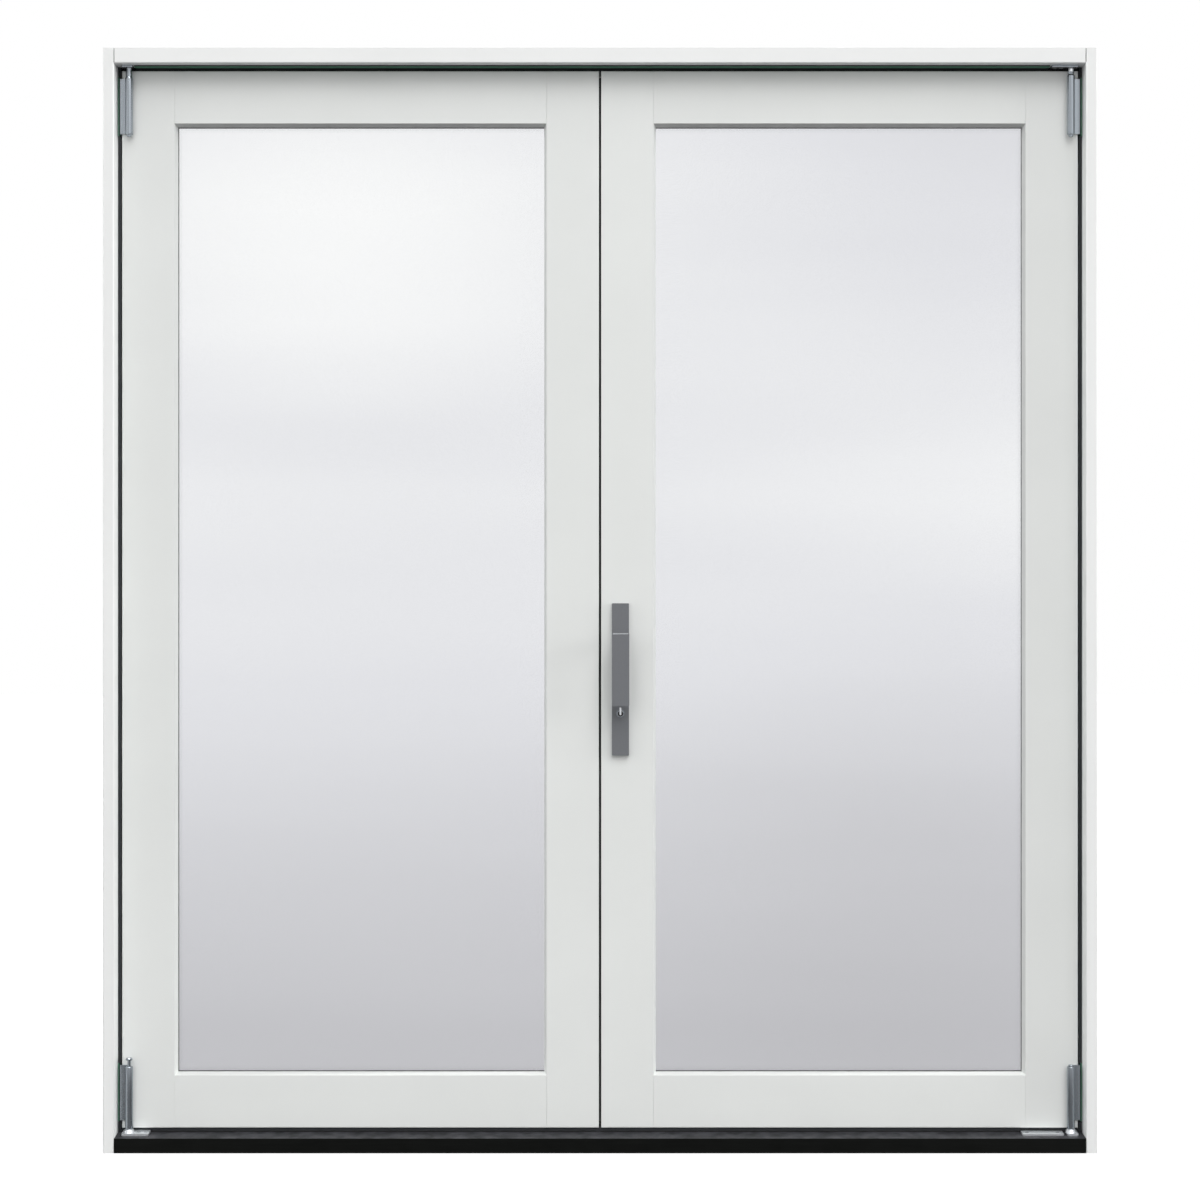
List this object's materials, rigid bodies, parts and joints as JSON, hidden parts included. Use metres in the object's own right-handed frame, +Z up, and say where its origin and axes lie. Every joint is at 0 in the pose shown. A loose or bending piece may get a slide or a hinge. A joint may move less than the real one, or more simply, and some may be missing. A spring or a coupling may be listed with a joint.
{
  "type": "french doors",
  "caption": "Pair of outward-opening glazed doors in a white frame with a black sill, corner pivot hinges, a lever handle and a rack-driven rod lock.",
  "frame": {"origin": "middle of the sill's underside", "axes": "+X to the right seen from outside, -Y to the outside, +Z up"},
  "size_m": [1.79, 0.152, 1.99],
  "materials": {
    "frame_paint": "white painted timber, satin",
    "leaf_paint": "pale grey-white painted timber, satin",
    "sill_black": "black stained hardwood sill",
    "zinc": "bright zinc plated steel",
    "steel": "plain brushed steel",
    "graphite": "graphite grey powder coat",
    "seal_black": "black rubber seal",
    "strip_green": "dark green rubber strip",
    "block_plastic": "black plastic",
    "clear_glass": "clear float glass"
  },
  "bodies": {
    "frame": {"left_jamb": "frame_paint", "right_jamb": "frame_paint", "head": "frame_paint", "sill": "sill_black", "stop_seal": "seal_black", "weather_strips": "strip_green", "top_left_bracket": "zinc", "top_right_bracket": "zinc", "bottom_left_bracket": "zinc", "bottom_right_bracket": "zinc", "pivot_pins": "zinc", "sill_strip": "zinc", "head_keeps": "steel", "sill_keeps": "steel", "frame_screws": "steel"},
    "left_leaf": {"left_hinge_stile": "leaf_paint", "left_meeting_stile": "leaf_paint", "left_top_rail": "leaf_paint", "left_bottom_rail": "leaf_paint", "left_outer_pane": "clear_glass", "left_inner_pane": "clear_glass", "left_spacer": "block_plastic", "left_beads": "leaf_paint", "left_tapes": "seal_black", "left_setting_blocks": "block_plastic", "left_top_hinge": "zinc", "left_bottom_hinge": "zinc", "left_screws": "steel", "deadbolt_keep": "steel", "flush_bolt_plates": "steel"},
    "right_leaf": {"right_hinge_stile": "leaf_paint", "right_meeting_stile": "leaf_paint", "right_top_rail": "leaf_paint", "right_bottom_rail": "leaf_paint", "right_outer_pane": "clear_glass", "right_inner_pane": "clear_glass", "right_spacer": "block_plastic", "right_beads": "leaf_paint", "right_tapes": "seal_black", "right_setting_blocks": "block_plastic", "right_top_hinge": "zinc", "right_bottom_hinge": "zinc", "right_screws": "steel", "meeting_seal": "seal_black", "lock_case": "steel", "lock_cover": "steel", "forend": "steel", "outside_plate": "graphite", "inside_plate": "graphite", "lock_screws": "steel"},
    "lever_set": {"outside_lever": "graphite", "inside_lever": "graphite", "spindle": "steel", "drive_pinion": "steel"},
    "top_rod": {"top_rod": "zinc"},
    "bottom_rod": {"bottom_rod": "zinc"},
    "turn_piece": {"turn_piece": "steel"},
    "deadbolt": {"deadbolt": "zinc"},
    "top_flush_bolt": {"top_flush_bolt": "zinc"},
    "bottom_flush_bolt": {"bottom_flush_bolt": "zinc"}
  },
  "joints": [
    {"name": "left_swing", "type": "hinge", "parent": "frame", "child": "left_leaf", "pos_m": [-0.853, -0.0355, 0.1], "axis": [0, 0, -1], "range_deg": [0, 110], "deforming": ["meeting_seal"]},
    {"name": "right_swing", "type": "hinge", "parent": "frame", "child": "right_leaf", "pos_m": [0.853, -0.0355, 0.1], "axis": [0, 0, 1], "range_deg": [0, 110], "deforming": ["meeting_seal"]},
    {"name": "lever_turn", "type": "hinge", "parent": "right_leaf", "child": "lever_set", "pos_m": [0.037, -0.05, 0.92], "axis": [0, -1, 0], "range_deg": [0, 90]},
    {"name": "top_rod_rise", "type": "slide", "parent": "right_leaf", "child": "top_rod", "axis": [0, 0, 1], "range_m": [0, 0.022]},
    {"name": "bottom_rod_drop", "type": "slide", "parent": "right_leaf", "child": "bottom_rod", "axis": [0, 0, -1], "range_m": [0, 0.022]},
    {"name": "turn_piece_turn", "type": "hinge", "parent": "right_leaf", "child": "turn_piece", "pos_m": [0.037, -0.03, 0.79], "axis": [0, 1, 0], "range_deg": [0, 90]},
    {"name": "deadbolt_throw", "type": "slide", "parent": "right_leaf", "child": "deadbolt", "axis": [-1, 0, 0], "range_m": [0, 0.02122]},
    {"name": "top_flush_slide", "type": "slide", "parent": "left_leaf", "child": "top_flush_bolt", "axis": [0, 0, 1], "range_m": [0, 0.018]},
    {"name": "bottom_flush_slide", "type": "slide", "parent": "left_leaf", "child": "bottom_flush_bolt", "axis": [0, 0, -1], "range_m": [0, 0.018]}
  ],
  "couplings": [
    {"joint": "top_rod_rise", "follows": "lever_turn", "m_per_rad": 0.014},
    {"joint": "bottom_rod_drop", "follows": "lever_turn", "m_per_rad": 0.014},
    {"joint": "deadbolt_throw", "follows": "turn_piece_turn", "m_per_rad": 0.0135}
  ]
}
